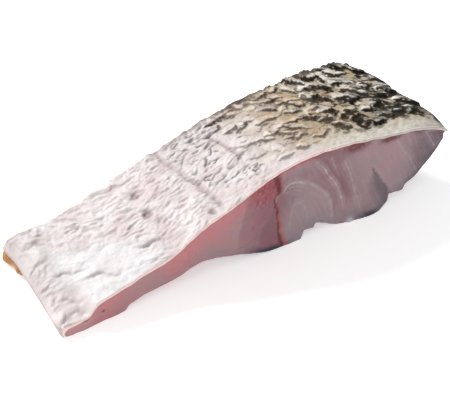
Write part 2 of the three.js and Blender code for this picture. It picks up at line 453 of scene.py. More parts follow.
def strokePatchZone(x, y):  # a grey patch of fine strokes by the front cut
    return bump(x, -0.5, 4.5) * bump(y, -16.8, 3.5)


def rippleZone(x, y):  # pale ripples left of the fold
    return fade(skinSheet, "ripples", x) * fade(skinSheet, "ripplesEnd", x)


def wrinkleRows(x, y):  # across the wrinkles, which swing round from the belly end to the fold
    run = 0.1 * x + 5.6 * np.logaddexp(0, -(x + 52) / 7) - 3 * np.logaddexp(0, -(x + 80) / 3)
    front = 0.35 * (x + 32) * bump(x, -32, 11) * smoothStep(-4, -20, y)
    rear = -0.3 * (x + 50) * smoothStep(-5, 22, y)
    return y - run - front - rear + 1.2 * softNoise(x / 16, y / 13, 22)


def wrinkleHeight(x, y):  # swellings of three sizes, parted by creases, drawn out along the wrinkles
    finer = fade(skinSheet, "fineWrinkles", x)
    along = x + 1.8 * softNoise(x / 6, y / 6, 23)
    across = wrinkleRows(x, y) + 1.4 * softNoise(x / 6, y / 6, 24)
    broad = np.hypot(softNoise(along / 9.5, across / 5, 61), 0.12)
    middle = np.abs(softNoise(along / 4.8, across / 2.7, 62))
    fine = np.abs(softNoise(along / 1.9, across / 1.6, 63))
    return mixed(0.95, 0.45, finer) * broad + 0.6 * middle + mixed(0.22, 0.5, finer) * fine, middle


def creaseField(x, y):  # the larger creases, one by one: how deep, and the swelling behind each
    depth, swelling = np.zeros(x.shape), np.zeros(x.shape)
    wobble = 0.9 * softNoise(x / 4, y / 4, 25) + 0.4 * softNoise(x / 1.6, y / 1.6, 37)
    uneven = 1.1 + 0.35 * softNoise(x / 2.5, y / 2.5, 38)
    for points, deep, half in skinSheet["creases"].values():
        near = around(x, y, points, 6)
        gap, rear, share = lineDistance(x[near] + wobble[near], y[near] + wobble[near], points)
        deep = deep * tapered(share, 0.35) * uneven[near]
        depth[near] = np.maximum(depth[near], deep * bump(gap, 0, half))
        swelling[near] = np.maximum(swelling[near], 0.45 * deep * rear * bump(gap, 1.6, 1.6))
    return depth, swelling


def skinZones(x, y):  # how far each place is from the rims, and where each kind of relief lies
    sheet = skinSheet
    zone = SimpleNamespace(fromFront=y + halfWidth, fromRear=halfWidth - y,
                           fromBelly=x + halfLength, fromBack=halfLength - x)
    zone.ragged = 1.6 * softNoise(x / 7, y / 7, 21) + 0.5 * softNoise(x / 2.5, y / 2.5, 20)
    zone.feather = softNoise(x / 2.6, y / 1.5, 41) + 0.8 * softNoise(x / 1.1, y / 0.8, 42)
    zone.scaled = fade(sheet, "scaled", x + 2 * zone.ragged)
    zone.bare = 1 - smoothStep(0.6, 1.4, (zone.fromFront + 0.9 * zone.ragged) / bareWidth(x))
    zone.bare = zone.bare * fade(sheet, "bare", x)
    zone.calm = smoothStep(6, -4, y + 0.6 * (x + 65)) * fade(sheet, "calm", x) * fade(sheet, "calmEnd", x)
    zone.endLumps = fade(sheet, "endLumps", x) * (1 - 0.6 * zone.calm) * smoothStep(2, 12, zone.fromFront)
    coarse = mixed(1.05, 0.6, fade(sheet, "fineWrinkles", x))
    rough = (1 - 0.65 * zone.calm) * (1 - 0.65 * zone.scaled) * coarse
    rough = rough * (1 - 0.5 * bump(x, -82, 8) * bump(y, -18, 8)) * (1 - 0.5 * bump(x, -20, 3.5))
    zone.rough = rough * (0.6 + 0.65 * smoothStep(-0.5, 0.5, softNoise(x / 11, y / 9, 27)))
    return zone


def skinMarks(x, y, zone):  # the fold, the lateral line, the pits, the creases and the rows of grooves
    sheet = skinSheet
    foldLine = sheet["foldX"] + 1.5 * bump(y, -9, 12) - 0.05 * y + 0.4 * np.sin(y / 4)
    fold = bump(x, foldLine + 0.4 * zone.ragged, sheet["foldWidth"]) * smoothStep(1, 4, zone.fromFront)
    lateralLine = sheet["lateralX"] - 0.12 * y + 0.5 * np.sin(y / 4)
    lateral = bump(x, lateralLine, sheet["lateralWidth"]) * smoothStep(-9, -2, y) * smoothStep(19, 14, y)
    pitX, pitY = x + 0.6 * zone.ragged, y + 1.2 * softNoise(x / 2.6, y / 2.6, 39)
    pits = sheet["pits"].values()
    creases, swelling = creaseField(x, y)
    return SimpleNamespace(
        fold=fold * (0.85 + 0.4 * softNoise(x / 3, y / 2.2, 28)), lateral=lateral,
        dents=sum(depth * bump(pitX, atX, r) * bump(pitY, atY, r) for atX, atY, r, depth in pits),
        creases=creases, swelling=swelling, dashes=grooveField(x, y, "dashes", dashZone),
        ripples=grooveField(x, y, "ripples", rippleZone), strokePatch=grooveField(x, y, "strokePatch", strokePatchZone))


def skinRelief(x, y, zone, marks, flaps, wrinkles):
    sheet = skinSheet
    height = sheet["flapRise"] * flaps.lift * mixed(0.55, 1, fade(sheet, "flaps", x))
    height = height + sheet["wrinkleRise"] * wrinkles * zone.rough
    height = height + 0.45 * softNoise(x / 7, y / 6, 26) * zone.endLumps
    height = height + 0.25 * softNoise(x / 9, y / 6 + x / 20, 19) * zone.calm
    grooves = np.maximum.reduce([marks.dashes, marks.ripples, 0.6 * marks.strokePatch])
    height = height - sheet["grooveDepth"] * grooves
    height = height - marks.creases + marks.swelling - marks.dents - sheet["bareBand"]["drop"] * zone.bare
    height = height - sheet["foldDepth"] * marks.fold - sheet["lateralDepth"] * marks.lateral
    grain = sheet["grainRise"] * layeredNoise(x / 2.1, y / 1.6, 29) * (1 - 0.35 * zone.calm)
    rearLumps = np.abs(softNoise(x / 3.2, y / 6, 43)) * smoothStep(4, 0.5, zone.fromRear)
    height = softened(height, 3) + grain + 1.1 * rearLumps * fade(sheet, "rearLumps", x)
    height = mixed(0.35, height, smoothStep(0, 1, zone.fromFront)) * smoothStep(0, 2, zone.fromBelly)
    rim = np.minimum.reduce([zone.fromFront, zone.fromRear, zone.fromBelly, zone.fromBack])
    height = height - sheet["edgeRound"] * (1 - smoothStep(0, 0.7, rim)) ** 2
    return np.maximum(height, sheet["thinnest"] - skinThickness(y))


def skinPigment(x, y, zone, ink):  # ink on the free edges, along the rims and in blots where the scales begin
    ridge = smoothStep(4.5, 2.5, zone.fromBack + 2 * zone.ragged + 1.8 * zone.feather)
    ridge = ridge * smoothStep(0.5, 5, zone.fromFront)
    rear = smoothStep(3.2, 1, zone.fromRear + 1.2 * zone.ragged + zone.feather)
    rear = rear * fade(skinSheet, "inkRear", x)
    blots = smoothStep(0.05, 0.3, softNoise(x / 3.2 + 0.3 * zone.feather, (y + 0.3 * x) / 1.5, 48))
    blots = blots * smoothStep(11, 4, zone.fromRear) * bump(x, 14, 17)
    return softened(np.maximum.reduce([ink, 0.95 * ridge, 0.85 * rear, 0.8 * blots]), 1)


def skinCreaseShade(x, y, zone, marks, notches):  # painted shade in the fold, the lateral line, the creases, the notches between wrinkles, the pits and along the belly end's rim
    patchy = smoothStep(-0.4, 0.3, softNoise(x / 8, y / 7, 24))
    notch = bump(notches, 0, 0.06) * zone.rough * patchy
    endRim = smoothStep(0.4, 0, zone.fromBelly)
    shade = np.maximum.reduce([0.75 * marks.creases, 0.85 * marks.fold, 1.1 * marks.lateral, 0.35 * notch,
                               0.8 * marks.ripples, 0.6 * endRim, smoothStep(0.1, 0.7, marks.dents)])
    return softened(shade, 1)


def skinTones(x, y, zone, marks, flaps):  # the belly's painted shade, a painted highlight on the flaps' lips, painted shade at their roots, and tones round the flaps and along the rims
    sheet = skinSheet
    fromFold = fade(sheet, "foldShade", x) * fade(sheet, "foldShadeEnd", x)
    # painted shade: darker at the belly end, right of the fold, and on the swelling behind each crease
    shade = 0.5 * fade(sheet, "endShade", x) + mixed(0.08, 0.36, smoothStep(-8, 15, y)) * fromFold
    # painted shade: darker towards each flap's root, under the free edge of the flap ahead; the halo round
    # the ink and the patches are brown tones
    tanAndShade = smoothStep(0.8, 5.5, flaps.behind) * smoothStep(11, 7, flaps.behind)
    tanAndShade = tanAndShade * mixed(1.25, 1, fade(sheet, "lessTan", x))
    tanAndShade = tanAndShade + 0.8 * flaps.halo + 0.7 * bump(x, 30, 16) * smoothStep(-0.3, 0.5, softNoise(x / 8, y / 6, 18))
    tanAndShade = tanAndShade * mixed(0.35, 1, smoothStep(5, 15, zone.fromFront))  # paler towards the front cut
    amber = smoothStep(0.2, 0.6, softNoise(x / 3.5, y / 1.3, 47))
    amber = amber * bump(zone.fromFront, bareWidth(x) + 1, 2.5)
    blush = smoothStep(5, 0.5, zone.fromFront + zone.ragged)
    blush = blush * fade(sheet, "blushEnd", x) * fade(sheet, "blush", x)
    cut = smoothStep(0.6, 0.1, np.minimum(zone.fromFront, zone.fromRear)) * fade(sheet, "cut", x)
    # darker in the dashes, the fine-stroke patch and the pits
    grooveDark = 1.25 * np.maximum(marks.dashes, 1.4 * marks.strokePatch)
    return {
        "grooveDark": grooveDark + 0.35 * smoothStep(0.4, 1.1, marks.dents),
        "back": fade(sheet, "back", x + 3 * zone.ragged - 20 * smoothStep(10, 2, zone.fromFront)),
        "shade": shade + 1.2 * marks.swelling,
        "plump": fade(sheet, "plump", x) * smoothStep(-9, -18, y),
        "speck": smoothStep(0, 0.7, layeredNoise(x / 2.4, y / 1.8, 40)),
        "warm": fade(sheet, "inkWarm", x),
        # painted highlight along each flap's free edge
        "lipHighlight": (1 - smoothStep(0.2, 1.6, flaps.behind)) * zone.scaled,
        "tanAndShade": tanAndShade * zone.scaled * (1 - zone.bare), "amber": amber * zone.scaled, "blush": blush,
        "cut": (0.8 + 0.4 * zone.feather) * cut,
    }


def skinSurface(x, y):
    zone, flaps = skinZones(x, y), freeEdgeField(x, y)
    marks = skinMarks(x, y, zone)
    lean = 0.5 * wrinkleHeight(x, y)[0]  # towards the front cut
    wrinkles, notches = wrinkleHeight(x, y + lean)
    masks = {"calm": zone.calm, "bare": zone.bare, "pigment": skinPigment(x, y, zone, flaps.ink),
             "creaseShade": skinCreaseShade(x, y, zone, marks, notches)}
    masks.update(skinTones(x, y, zone, marks, flaps))
    masks.update(flaps.tones)
    return skinRelief(x, y, zone, marks, flaps, wrinkles), masks


def buildSkin():
    sheet = skinSheet
    u, v, w, faces = latticeShell(sheet["cells"], sheet["coarse"], hiddenTop=False)
    nu, nv = sheet["cells"][:2]
    gridX, gridY = np.meshgrid(np.linspace(-halfLength, halfLength, nu + 1),
                               np.linspace(-halfWidth, halfWidth, nv + 1), indexing="ij")
    height, masks = skinSurface(gridX, gridY)
    spot = np.rint(u * nu).astype(int), np.rint(v * nv).astype(int)
    x, y = gridX[spot], gridY[spot]
    outer = skinForm(x, v)
    z = mixed(outer - skinThickness(y), outer + height[spot], w)
    curl = bump(x, -halfLength, 2.2) * bump(y, -halfWidth, 3.5) * (1 - w)  # the corner hangs to the floor
    z = mixed(z, 0.3, 0.95 * curl)
    y = y + 0.35 * softNoise(x / 5, w * 0.2, 44) * smoothStep(3, 0, y + halfWidth)
    x, y = cornerForm(x, y)
    points = np.stack([planX(x, v), y, z], -1)
    return makePiece("skinSheet", points, faces, {name: values[spot] for name, values in masks.items()})


# Flesh: one block with flake layers on the cuts

fleshBlock = {
    "cells": (368, 64, 64), "coarse": 4,
    "endInset": 1.2, "undercut": 3.4, "cutInset": 0.35, "seam": 0.05, "topGap": 0.5,
    "lineDepth": 0.3, "recessDepth": 0.9, "bloodDepth": 0.25,  # how far these lie below the cut
    "cutWaves": 0.3, "cutGrain": 0.1, "baseWaves": 0.35,
    "slant": 0.34,  # the flake layers move along X by this much of the way back
    "fades": {  # x where each begins, and x where it is full
        "clot": (-13, -1), "clotEnd": (9, 5), "edgeRed": (-18, -4), "edgeRedEnd": (46, 24), "mauve": (-17, 2),
        "rosy": (8, -16), "rosySkin": (40, 12), "rosyUneven": (10, -10), "lessRosy": (-38, -52),
        "endPale": (-77, -81), "greyRim": (-60, -15), "sheenStreaks": (6, 12), "hollow": (44, 50),
        "backDark": (70, 80), "backRecess": (68, 84), "backNavy": (60, 80),
    },
    "layers": {  # x and z on the front cut, line width, paleness, darkness and reach of the flake after it
        "bellyward": ([(-8, 33), (-10, 28.5), (-13, 18.5), (-16, 6)], 0.5, 0.15, 0.5, 5),
        "inward": ([(5, 27), (1, 18), (-3, 13), (-4, 3)], 0.4, 0.1, 0.9, 10),
        "hookTop": ([(7, 26.5), (10, 30), (14.5, 30), (21, 26.5)], 0.55, 0.75, 0.0, 5),
        "hook": ([(18, 28.5), (21, 27), (28.5, 19.5), (32, 13), (34, 0)], 0.8, 0.42, 0.75, 7),
        "innerHook": ([(11, 5), (12, 13.5), (14, 19.5), (17.5, 18), (20, 11.5), (20, 6)], 0.5, 0.3, 0.0, 5),
        "ring": ([(9, 25.5), (11, 27), (14.5, 26), (18, 23.5)], 0.4, 0.3, 0.0, 5),
        "second": ([(23, 37.5), (28, 31), (35.5, 19), (39, 5)], 0.4, 0.8, 1.0, 8),
        "short": ([(31, 36.5), (32.5, 32), (34.5, 29)], 0.35, 0.5, 0.0, 4),
        "third": ([(37, 33), (40.5, 26.5), (45.5, 11), (48, 3)], 0.45, 0.6, 0.1, 5),
        "flakeEdge": ([(53, 23), (55, 20), (62.5, 8.5), (65, 3)], 0.4, 0.4, 0.0, 5),
        "fifth": ([(63, 35), (72, 21.5), (79, 10)], 0.6, 0.25, 0.35, 8),
        "sixth": ([(80.5, 31), (84, 25.5), (87.5, 20)], 0.4, 0.5, 0.8, 6),
    },
    "bloodLine": [(4.5, 37.5), (6, 29.5), (4, 25), (5, 20), (6.5, 7), (8, 1.5)],
    "bruises": [  # x, z, radius along x and along z
        (44, 37, 6, 2.6), (62, 34.4, 5, 1.6), (77.5, 33.2, 3.4, 1.6), (89.6, 28.4, 2.2, 1.8),
        (-74.7, 5, 0.45, 0.45),
    ],
    "foot": (51, 9, 2.6), "drop": (41.8, 1.4, 1.1), "dropZ": 0.9,  # x, spread, how far out
    "lobeFill": (-82, 3.5, 0.7),  # x, spread, how far out, under the drooping corner
    "fatLumps": [(0.94, 0.07, 1.35), (0.78, 0.085, 1.0)], "fatOut": 2.2,  # share of the width, spread, size
    "tuck": (0.9, 0.3),  # along x and y, under the skin of the front belly corner
}


def flakeLayers(x, y, z, spots):  # the pale lines between the flakes, and the darker flake after each
    broken = 0.7 + 0.5 * softNoise(x / 3, z / 3 + y / 4, 55)
    pale, dark = np.zeros(x.shape), np.zeros(x.shape)
    for points, width, strength, darkness, reach in fleshBlock["layers"].values():
        gap, after, share = lineDistance(spots.slid + spots.waver, z, points)
        line = bump(gap, 0, width) + 0.35 * bump(gap, 3.2 * width, width)  # with a fainter line beside it
        pale = np.maximum(pale, 1.2 * strength * broken * line * tapered(share, 0.12))
        shade = after * bump(gap, 0, reach) * smoothStep(0, 2, gap)
        dark = np.maximum(dark, darkness * shade * smoothStep(1, 0.75, share))
    return pale, dark


def bloodMarks(x, z, spots):  # the bloodline, the clot on its belly side and the red edge under the skin
    block, waver, deep = fleshBlock, spots.waver, spots.deep
    jagged = waver + 0.8 * softNoise(x / 1.4, z / 1.6, 57) * smoothStep(8, 24, z)
    gap, after, share = lineDistance(x + jagged, z, block["bloodLine"])
    width = 0.5 + 0.6 * smoothStep(13, 3, z) + 0.8 * smoothStep(12, 5, deep)
    width = width + 0.15 * softNoise(z / 2, x * 0, 48)
    clot = fade(block, "clot", x + 0.3 * (z - 32)) * fade(block, "clotEnd", x + waver)
    clot = clot * smoothStep(17, 4, deep)
    clotTone = smoothStep(0.15, 0.9, clot + 0.35 * layeredNoise(x / 3.5, z / 3.5, 58))
    vein = clot * smoothStep(0.2, 0.6, softNoise(x / 1.2 + 0.1 * z, z / 2.6, 49))
    edge = bump(deep, 0, 1.2 + 0.6 * waver)
    edge = edge * fade(block, "edgeRed", x + 3 * waver) * fade(block, "edgeRedEnd", x + 4 * waver)
    return SimpleNamespace(
        gap=gap, after=after, line=np.maximum(bump(gap, 0, width), 0.6 * vein),
        rim=after * bump(gap, width + 0.5, 1) * (0.25 + 0.75 * smoothStep(22, 12, z)),
        crimson=np.maximum(0.62 * clotTone, 0.85 * edge),
        fleck=smoothStep(0.4, 0.65, softNoise(x / 1.2, z / 0.9, 59)) * clot)


def bruiseMarks(x, z, fromFront):
    uneven = 1.5 + 0.9 * softNoise(x / 1.6, z / 1.2, 53)
    bruises = np.zeros(x.shape)
    for bruiseX, bruiseZ, radiusX, radiusZ in fleshBlock["bruises"]:
        mark = bump(x, bruiseX, radiusX) * bump(z, bruiseZ, radiusZ) * smoothStep(4, 0, fromFront)
        bruises = np.maximum(bruises, np.clip(mark * uneven, 0, 1))
    return bruises


def rosyTone(x, y, z, spots):  # strongest under the skin and towards the belly
    block, deep = fleshBlock, spots.deep
    underSkin = np.exp(-deep / (0.9 + 3 * bump(x, -20, 24)))
    rosy = 0.7 * fade(block, "rosy", x) + 0.12 + 0.9 * underSkin * fade(block, "rosySkin", x)
    rosy = rosy - 0.4 * smoothStep(2, 12, deep) * bump(x, -10, 22) - 0.4 * bump(x, -57, 10)
    rosy = rosy + (0.12 + 0.15 * fade(block, "rosyUneven", x)) * softNoise(x / 11, z / 6 + y / 12, 54)
    rosy = rosy - 0.25 * np.exp(-deep / 3) * fade(block, "lessRosy", x)
    return rosy * mixed(1, 0.6, spots.fromFront / (2 * halfWidth))


def recessShade(x, z, spots):  # painted shade in a hollow beside one flake's edge, and under the undercut below the back
    block = fleshBlock
    points = block["layers"]["flakeEdge"][0]
    gap, after, share = lineDistance(spots.slid + 0.5 * spots.waver, z, points)
    hollow = 0.3 + 11 * smoothStep(24, 9, z + spots.waver)  # narrows to a point at the top
    shadedRecess = (1 - after) * smoothStep(1, 0, gap / hollow) * fade(block, "hollow", spots.slid)
    undercut = fade(block, "backRecess", x + 3 * spots.waver) * smoothStep(0.2, 2, spots.deep)
    return np.maximum(shadedRecess, 0.85 * undercut)


def fleshMasks(x, y, z, ceiling, floor):
    block, fromFront = fleshBlock, y + halfWidth
    waver = 0.5 * softNoise(x / 6, z / 6 + y / 9, 51) + 0.25 * softNoise(x / 2, z / 2 + y / 5, 50)
    spots = SimpleNamespace(
        fromFront=fromFront, slid=x - block["slant"] * fromFront, waver=waver,
        deep=np.maximum(ceiling - z, 0), low=np.maximum(z - floor, 0))
    pale, dark = flakeLayers(x, y, z, spots)
    red, bruises = bloodMarks(x, z, spots), bruiseMarks(x, z, fromFront)
    redMuscle = bump(x + 2 * waver, 31, 9) * smoothStep(18, 30, z)  # under the skin
    dark = np.maximum.reduce([dark, 0.85 * redMuscle, 0.65 * fade(block, "backDark", x + 3 * waver)])
    dark = np.maximum(dark * np.where(x > 4.5, red.after, 1), bruises)
    grainX = spots.slid + 0.49 * z  # runs along the flake lines
    # painted sheen: pale streaks along the flake lines
    streak = smoothStep(0.1, 0.7, softNoise(grainX / 1.3, z / 11, 56)) * fade(block, "sheenStreaks", x)
    pale = pale * smoothStep(0.5, 2.5, red.gap + (1 - red.after))
    pale = np.maximum.reduce([pale, 0.12 * streak, 0.7 * red.fleck, 0.2 * fade(block, "endPale", x)])
    shaded = 1.3 * bump(x, 2, 8) + bump(x, 52, 7) + 0.4 * fade(block, "backNavy", x)
    return {
        "pale": pale, "dark": dark, "rosy": rosyTone(x, y, z, spots), "shadedRecess": recessShade(x, z, spots),
        "blood": np.maximum(red.line, 0.75 * bruises), "bloodRim": red.rim, "crimson": red.crimson,
        "navy": smoothStep(3.2, 0.6, spots.low + waver) * shaded,
        "greyRim": smoothStep(9, 0.5, spots.low) * fade(block, "greyRim", x),
        "mauve": fade(block, "mauve", x + 2 * waver) * (1 - red.after),
    }


def dropMask(x, z, front):  # a droplet at the foot of the front cut, coloured pale as a painted highlight
    dropX, spread, _ = fleshBlock["drop"]
    return front * bump(x, dropX, spread) * bump(z, fleshBlock["dropZ"], spread)


def cutSink(x, z, v, front, masks):  # how far the cuts lie inwards
    block = fleshBlock
    footX, footSpread, footOut = block["foot"]
    fillX, fillSpread, fillOut = block["lobeFill"]
    sink = block["cutInset"] + block["lineDepth"] * masks["pale"]
    sink = sink + block["recessDepth"] * masks["shadedRecess"] + block["bloodDepth"] * masks["blood"]
    sink = sink + block["cutWaves"] * layeredNoise(x / 9, z / 7 + 20 * np.round(v), 62)
    sink = sink + block["cutGrain"] * layeredNoise(x / 2.2, z / 2.2, 63)
    sink = sink - front * footOut * bump(x, footX, footSpread) * smoothStep(9, 0, z) ** 2
    return sink - fillOut * front * bump(x, fillX, fillSpread) - block["drop"][2] * masks["drop"]


def fatField(u, v, w):  # a larger lump of fat and a smaller one on the belly end
    lumps = sum(size * bump(v, middle, spread) for middle, spread, size in fleshBlock["fatLumps"])
    return lumps * np.sin(math.pi * np.clip(w * 1.05, 0, 1)) ** 0.7 * smoothStep(0.02, 0, u)


def buildFlesh():
    block = fleshBlock
    u, v, w, faces = latticeShell(block["cells"], block["coarse"], hiddenTop=True)
    undercut = block["undercut"] * (1 - w) * smoothStep(0.78, 0.72, v) * smoothStep(0.03, 0.25, v)
    x = mixed(-halfLength + block["endInset"] + undercut, halfLength - block["endInset"], u)
    y = mixed(-halfWidth, halfWidth, v)
    floor = undersideForm(x, v)
    inside = np.minimum.reduce([v, 1 - v, 2 * u, 2 - 2 * u])
    ceiling = skinForm(x, v) - skinThickness(y) - block["seam"]
    ceiling = ceiling - block["topGap"] * smoothStep(0, 0.08, inside)
    z = mixed(floor, ceiling, w)
    front, fat = (1 - v) ** 8, fatField(u, v, w)
    masks = fleshMasks(x, y, z, ceiling, floor)
    masks["fat"] = smoothStep(0.1, 0.45, fat)
    masks["drop"] = dropMask(x, z, front)
    y = y - np.sign(2 * v - 1) * cutSink(x, z, v, front, masks) * np.abs(2 * v - 1) ** 6
    under = smoothStep(0.2, 0, w) * smoothStep(0.2, 1.5, floor)
    z = z + under * block["baseWaves"] * layeredNoise(x / 7, y / 7, 64)
    x, y = cornerForm(x, y)
    tuckX, tuckY = block["tuck"]
    tuck = bump(x, -halfLength, 5) * smoothStep(0.2, 0, v)
    x, y = x + tuckX * tuck, y + tuckY * tuck
    points = np.stack([planX(x, v) - block["fatOut"] * fat, y, np.maximum(z, 0)], -1)
    return makePiece("fleshBlock", points, faces, masks)


# Materials

def newGroup(name, inputs, outputs):
    group = bpy.data.node_groups.new(name, "ShaderNodeTree")
    for label, kind, value in inputs:
        socket = group.interface.new_socket(label, in_out="INPUT", socket_type=kind)
        socket.default_value = value
    for label, kind in outputs:
        group.interface.new_socket(label, in_out="OUTPUT", socket_type=kind)
    start, end = group.nodes.new("NodeGroupInput"), group.nodes.new("NodeGroupOutput")
    return group, start.outputs, end.inputs


def feed(tree, socket, value):  # sets a colour or a number, links another socket
    if isinstance(value, tuple):
        socket.default_value = (*value, 1)
    elif isinstance(value, (int, float)):
        socket.default_value = value
    else:
        tree.links.new(value, socket)


def noiseNode(tree, scale, detail):
    spots = tree.nodes.new("ShaderNodeTexCoord")
    noise = tree.nodes.new("ShaderNodeTexNoise")
    noise.inputs["Detail"].default_value = detail
    noise.inputs["Roughness"].default_value = 0.55
    feed(tree, noise.inputs["Vector"], spots.outputs["Object"])
    feed(tree, noise.inputs["Scale"], scale)
    return noise.outputs["Fac"]


def rangeNode(tree, value, fromLow, fromHigh, toLow, toHigh):
    node = tree.nodes.new("ShaderNodeMapRange")
    for label, given in (("Value", value), ("From Min", fromLow), ("From Max", fromHigh),
                         ("To Min", toLow), ("To Max", toHigh)):
        feed(tree, node.inputs[label], given)
    return node.outputs["Result"]


def scaledBy(tree, value, amount):
    node = tree.nodes.new("ShaderNodeMath")
    node.operation = "MULTIPLY"
    feed(tree, node.inputs[0], value)
    feed(tree, node.inputs[1], amount)
    return node.outputs[0]


def blendOver(tree, share, below, above):
    node = tree.nodes.new("ShaderNodeMix")
    node.data_type = "RGBA"  # its colours are sockets 6 and 7, and its result is 2
    for socket, value in ((node.inputs[0], share), (node.inputs[6], below), (node.inputs[7], above)):
        feed(tree, socket, value)
    return node.outputs[2]


def maskNode(tree, name):
    node = tree.nodes.new("ShaderNodeAttribute")
    node.attribute_name = name
    return node.outputs["Fac"]


def moistFilm():  # wet patches: roughness and a fine uneven surface
    group, given, out = newGroup(
        "moistFilm",
        [("Dry", "NodeSocketFloat", 0.5), ("Wet", "NodeSocketFloat", 0.25),
         ("Patch Scale", "NodeSocketFloat", 90.0), ("Grain Scale", "NodeSocketFloat", 900.0)],
        [("Roughness", "NodeSocketFloat"), ("Grain", "NodeSocketFloat")])
    patches = noiseNode(group, given["Patch Scale"], 3)
    feed(group, out["Roughness"], rangeNode(group, patches, 0.35, 0.65, given["Wet"], given["Dry"]))
    feed(group, out["Grain"], noiseNode(group, given["Grain Scale"], 3))
    return group


def mottle():  # uneven colour: one tone drifting towards another
    group, given, out = newGroup(
        "mottle",
        [("Colour", "NodeSocketColor", (1, 1, 1, 1)), ("Towards", "NodeSocketColor", (1, 1, 1, 1)),
         ("Scale", "NodeSocketFloat", 120.0), ("Amount", "NodeSocketFloat", 0.5)],
        [("Colour", "NodeSocketColor")])
    drift = rangeNode(group, noiseNode(group, given["Scale"], 4), 0.4, 0.68, 0, 1)
    share = scaledBy(group, drift, given["Amount"])
    feed(group, out["Colour"], blendOver(group, share, given["Colour"], given["Towards"]))
    return group


def place(tree, group, **values):
    node = tree.nodes.new("ShaderNodeGroup")
    node.node_tree = group
    for label, value in values.items():
        feed(tree, node.inputs[label.replace("_", " ")], value)
    return node.outputs


def newMaterial(name):
    material = bpy.data.materials.new(name)
    material.use_nodes = True
    return material, material.node_tree, material.node_tree.nodes["Principled BSDF"]


def bumpNode(tree, height, strength, distance):
    node = tree.nodes.new("ShaderNodeBump")
    node.inputs["Strength"].default_value = strength
    node.inputs["Distance"].default_value = distance
    feed(tree, node.inputs["Height"], height)
    return node.outputs["Normal"]


def mottled(tree, drift, look, tone, towards, scale, amount):
    group = place(tree, drift, Colour=look[tone], Towards=look[towards], Scale=scale, Amount=amount)
    return group["Colour"]


def layered(tree, colour, look, layers):  # from below up: a mask, the tone it lays on, and how strongly
    for name, tone, amount in layers:
        colour = blendOver(tree, scaledBy(tree, maskNode(tree, name), amount), colour, look[tone])
    return colour


skinLook = {
    "belly": (0.555, 0.522, 0.52), "bellyRosy": (0.485, 0.41, 0.405), "bellyShade": (0.40, 0.36, 0.355),
    # creaseShade is painted shade for the creases, the fold, the pits and the belly end's rim
    "calm": (0.60, 0.59, 0.597), "plump": (0.585, 0.525, 0.52), "creaseShade": (0.275, 0.20, 0.19),
    # lipHighlight is a painted highlight on the flaps' free edges
    "ground": (0.53, 0.475, 0.385), "tanAndShade": (0.26, 0.20, 0.135), "lipHighlight": (0.63, 0.60, 0.55),
    "pink": (0.60, 0.51, 0.47), "peach": (0.52, 0.36, 0.225), "cream": (0.535, 0.435, 0.315),
    "pale": (0.55, 0.525, 0.475), "white": (0.66, 0.65, 0.62), "grey": (0.27, 0.235, 0.21),
    "olive": (0.42, 0.35, 0.165), "bare": (0.57, 0.54, 0.49), "bareDull": (0.42, 0.385, 0.33),
    "amber": (0.50, 0.38, 0.15), "blush": (0.58, 0.42, 0.37), "cut": (0.84, 0.66, 0.61),
    # grooveDark darkens the dashes, the fine-stroke patch and the pits
    "grooveDark": (0.085, 0.08, 0.085), "ink": (0.009, 0.007, 0.004), "inkWarm": (0.03, 0.021, 0.013),
    "inkBrown": (0.055, 0.027, 0.015), "dry": 0.52, "wet": 0.34,
    "bellyLayers": [("calm", "calm", 0.8), ("speck", "bellyRosy", 0.2), ("shade", "bellyShade", 1.0),
                    ("plump", "plump", 0.85)],
    # tanAndShade lays a tan tone and, at the flaps' roots, painted shade
    "backLayers": [*((tone, tone, 0.9) for tone in skinSheet["tones"]), ("speck", "tanAndShade", 0.3),
                   ("tanAndShade", "tanAndShade", 0.7), ("lipHighlight", "lipHighlight", 0.5)],
    "bareShare": 0.9,
    "rimLayers": [("amber", "amber", 0.45), ("blush", "blush", 0.7)],
    "topLayers": [("cut", "cut", 1.0), ("creaseShade", "creaseShade", 0.7), ("grooveDark", "grooveDark", 0.8)],
    "inkLayers": [("warm", "inkBrown", 0.6)],
}


def skinMaterial(film, drift):
    look = skinLook
    material, tree, shader = newMaterial("scaledSkin")
    belly = mottled(tree, drift, look, "belly", "bellyRosy", 110.0, 0.9)
    belly = layered(tree, belly, look, look["bellyLayers"])
    back = mottled(tree, drift, look, "ground", "tanAndShade", 190.0, 0.35)
    back = layered(tree, back, look, look["backLayers"])
    bare = mottled(tree, drift, look, "bare", "bareDull", 330.0, 0.7)
    back = blendOver(tree, scaledBy(tree, maskNode(tree, "bare"), look["bareShare"]), back, bare)
    back = layered(tree, back, look, look["rimLayers"])
    colour = blendOver(tree, maskNode(tree, "back"), belly, back)
    colour = layered(tree, colour, look, look["topLayers"])
    ink = mottled(tree, drift, look, "ink", "inkWarm", 300.0, 1.0)
    ink = layered(tree, ink, look, look["inkLayers"])
    colour = blendOver(tree, maskNode(tree, "pigment"), colour, ink)
    wet = place(tree, film, Dry=look["dry"], Wet=look["wet"], Patch_Scale=110.0, Grain_Scale=1100.0)
    feed(tree, shader.inputs["Base Color"], colour)
    feed(tree, shader.inputs["Roughness"], wet["Roughness"])
    feed(tree, shader.inputs["Normal"], bumpNode(tree, wet["Grain"], 0.35, 0.0003))
    shader.inputs["Specular IOR Level"].default_value = 0.08
    shader.inputs["Subsurface Weight"].default_value = 0.1
    shader.inputs["Subsurface Radius"].default_value = (1.0, 0.6, 0.5)
    shader.inputs["Subsurface Scale"].default_value = 0.001
    print("material: scaledSkin")
    return material


